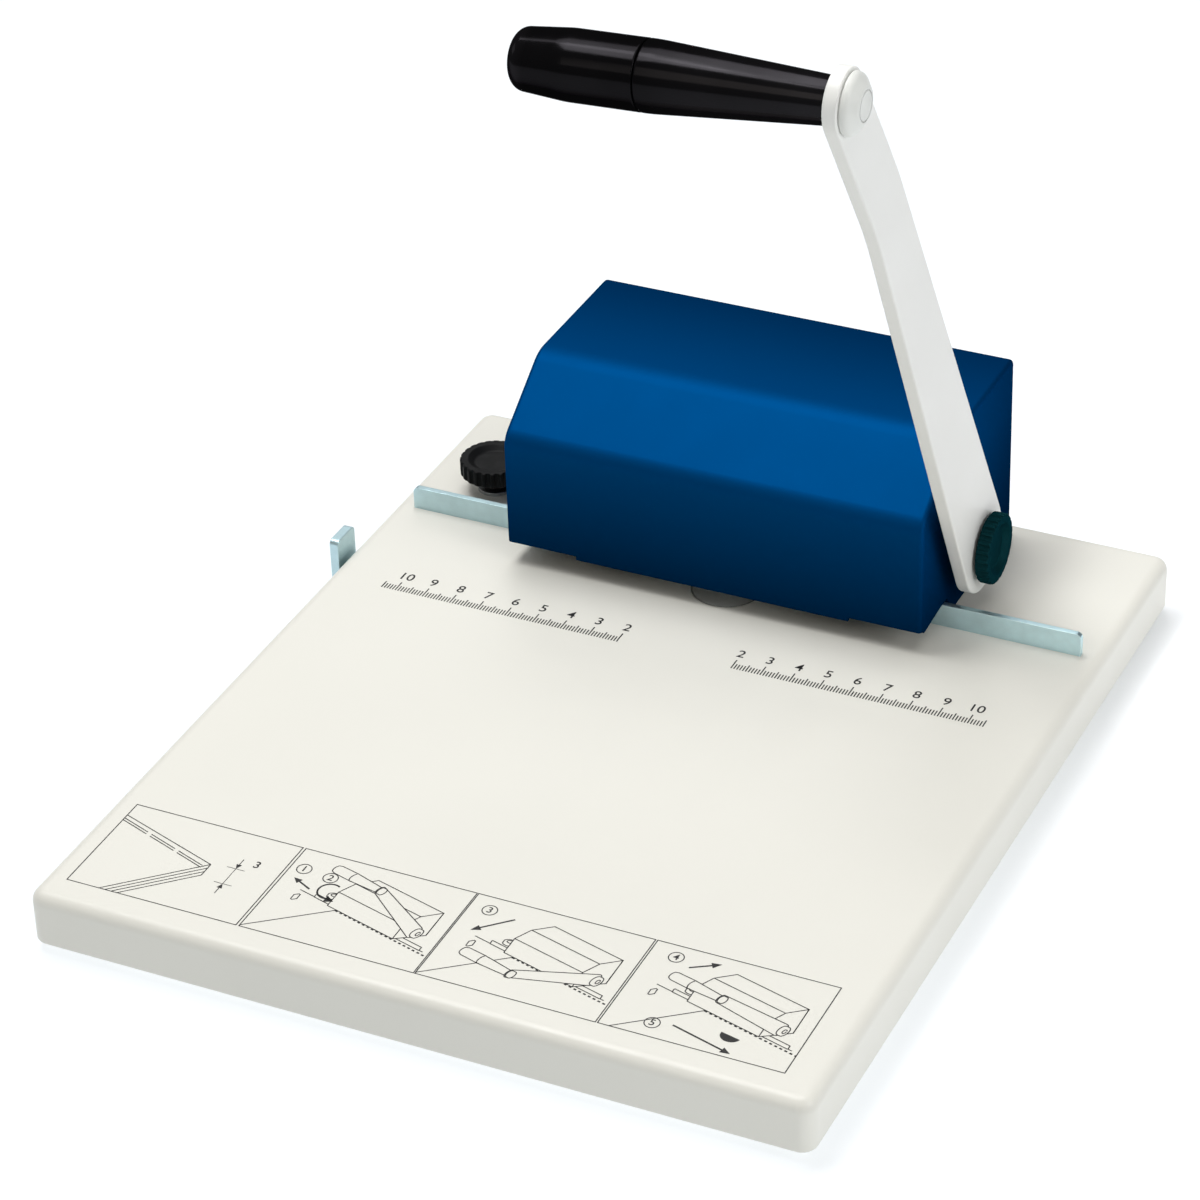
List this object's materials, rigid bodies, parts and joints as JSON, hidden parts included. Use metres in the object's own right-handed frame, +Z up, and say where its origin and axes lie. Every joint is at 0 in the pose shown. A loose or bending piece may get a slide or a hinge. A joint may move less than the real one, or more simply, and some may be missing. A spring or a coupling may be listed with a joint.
{
  "type": "calendar punch",
  "caption": "Desk lever press on a board that punches a half-moon thumb notch into the edge of a stack of sheets; back bar, side stop, folded cover",
  "frame": {"origin": "on the ground, under the blade's centre line and at mid depth of the board", "axes": "+X right along the stop bar, +Y to the back, +Z up; the lever is pulled towards -Y"},
  "size_m": [0.2563, 0.3066, 0.2644],
  "materials": {
    "board_lacquer": "satin cream lacquer on 18 mm fibreboard",
    "foot_rubber": "matt black rubber",
    "screw_steel": "zinc-plated screws",
    "zinc_steel": "pale blue zinc plating",
    "tool_steel": "ground tool steel",
    "frame_steel": "milled steel plate",
    "machined_steel": "turned and milled steel",
    "spring_steel": "oiled spring steel",
    "bush_brass": "turned brass",
    "cover_paint": "satin blue paint on folded sheet",
    "lever_paint": "satin off-white paint",
    "cap_plastic": "off-white moulded cap",
    "knob_plastic": "black moulded knob",
    "grip_plastic": "glossy black moulded grip"
  },
  "bodies": {
    "base": {"base_board": "board_lacquer", "clamp_bolt": "screw_steel", "clamp_washer": "screw_steel", "cover": "cover_paint", "cover_screws": "screw_steel", "die_button": "tool_steel", "foot_screws": "screw_steel", "frame_back": "frame_steel", "frame_base": "frame_steel", "frame_base_bolts": "screw_steel", "frame_screws": "screw_steel", "frame_side_left": "frame_steel", "frame_side_right": "frame_steel", "guide_block": "frame_steel", "guide_block_screws": "screw_steel", "return_springs": "spring_steel", "rubber_feet": "foot_rubber", "shaft_bush_left": "bush_brass", "shaft_bush_right": "bush_brass", "shoulder_screws": "screw_steel", "stop_bar": "zinc_steel", "stop_bar_screws": "screw_steel", "stop_retainer": "zinc_steel", "stop_retainer_screws": "screw_steel", "tie_rod": "machined_steel", "tie_rod_screws": "screw_steel"},
    "lever": {"main_shaft": "machined_steel", "shaft_circlip": "spring_steel", "lever_spacer": "machined_steel", "drive_pinion": "machined_steel", "pinion_pin": "machined_steel", "lever_arm": "lever_paint", "handle_spindle": "machined_steel", "spindle_nut": "screw_steel", "lever_cap": "cap_plastic"},
    "clamp_nut_knob": {"lever_knob": "knob_plastic"},
    "grip": {"grip_sleeve": "grip_plastic", "grip_end": "grip_plastic"},
    "ram": {"punch_ram": "machined_steel", "punch_blade": "tool_steel", "blade_pin": "machined_steel"},
    "stop": {"side_stop": "zinc_steel"},
    "stop_knob": {"clamp_knob": "knob_plastic"}
  },
  "joints": [
    {"name": "lever_swing", "type": "hinge", "parent": "base", "child": "lever", "pos_m": [0, 0.0991, 0.0451], "axis": [1, 0, 0], "range_deg": [0, 55], "stiffness_Nm_per_rad": 0.5, "springref_deg": -57.3},
    {"name": "ram_slide", "type": "slide", "parent": "base", "child": "ram", "axis": [0, 0, -1], "range_m": [0, 0.0078], "deforming": ["return_springs"]},
    {"name": "grip_spin", "type": "hinge", "parent": "lever", "child": "grip", "pos_m": [0.0814, -0.0156, 0.2542], "axis": [0.9992, 0, 0.0401], "continuous": true},
    {"name": "lever_knob_turn", "type": "hinge", "parent": "lever", "child": "clamp_nut_knob", "pos_m": [0, 0.0991, 0.0451], "axis": [1, 0, 0], "continuous": true},
    {"name": "side_stop_slide", "type": "slide", "parent": "base", "child": "stop", "axis": [-1, 0, 0], "range_m": [0, 0.045]},
    {"name": "stop_knob_turn", "type": "hinge", "parent": "base", "child": "stop_knob", "pos_m": [-0.098, 0.107, 0.029], "axis": [0, 0, 1], "continuous": true}
  ],
  "couplings": [
    {"joint": "ram_slide", "follows": "lever_swing", "m_per_rad": 0.008}
  ]
}
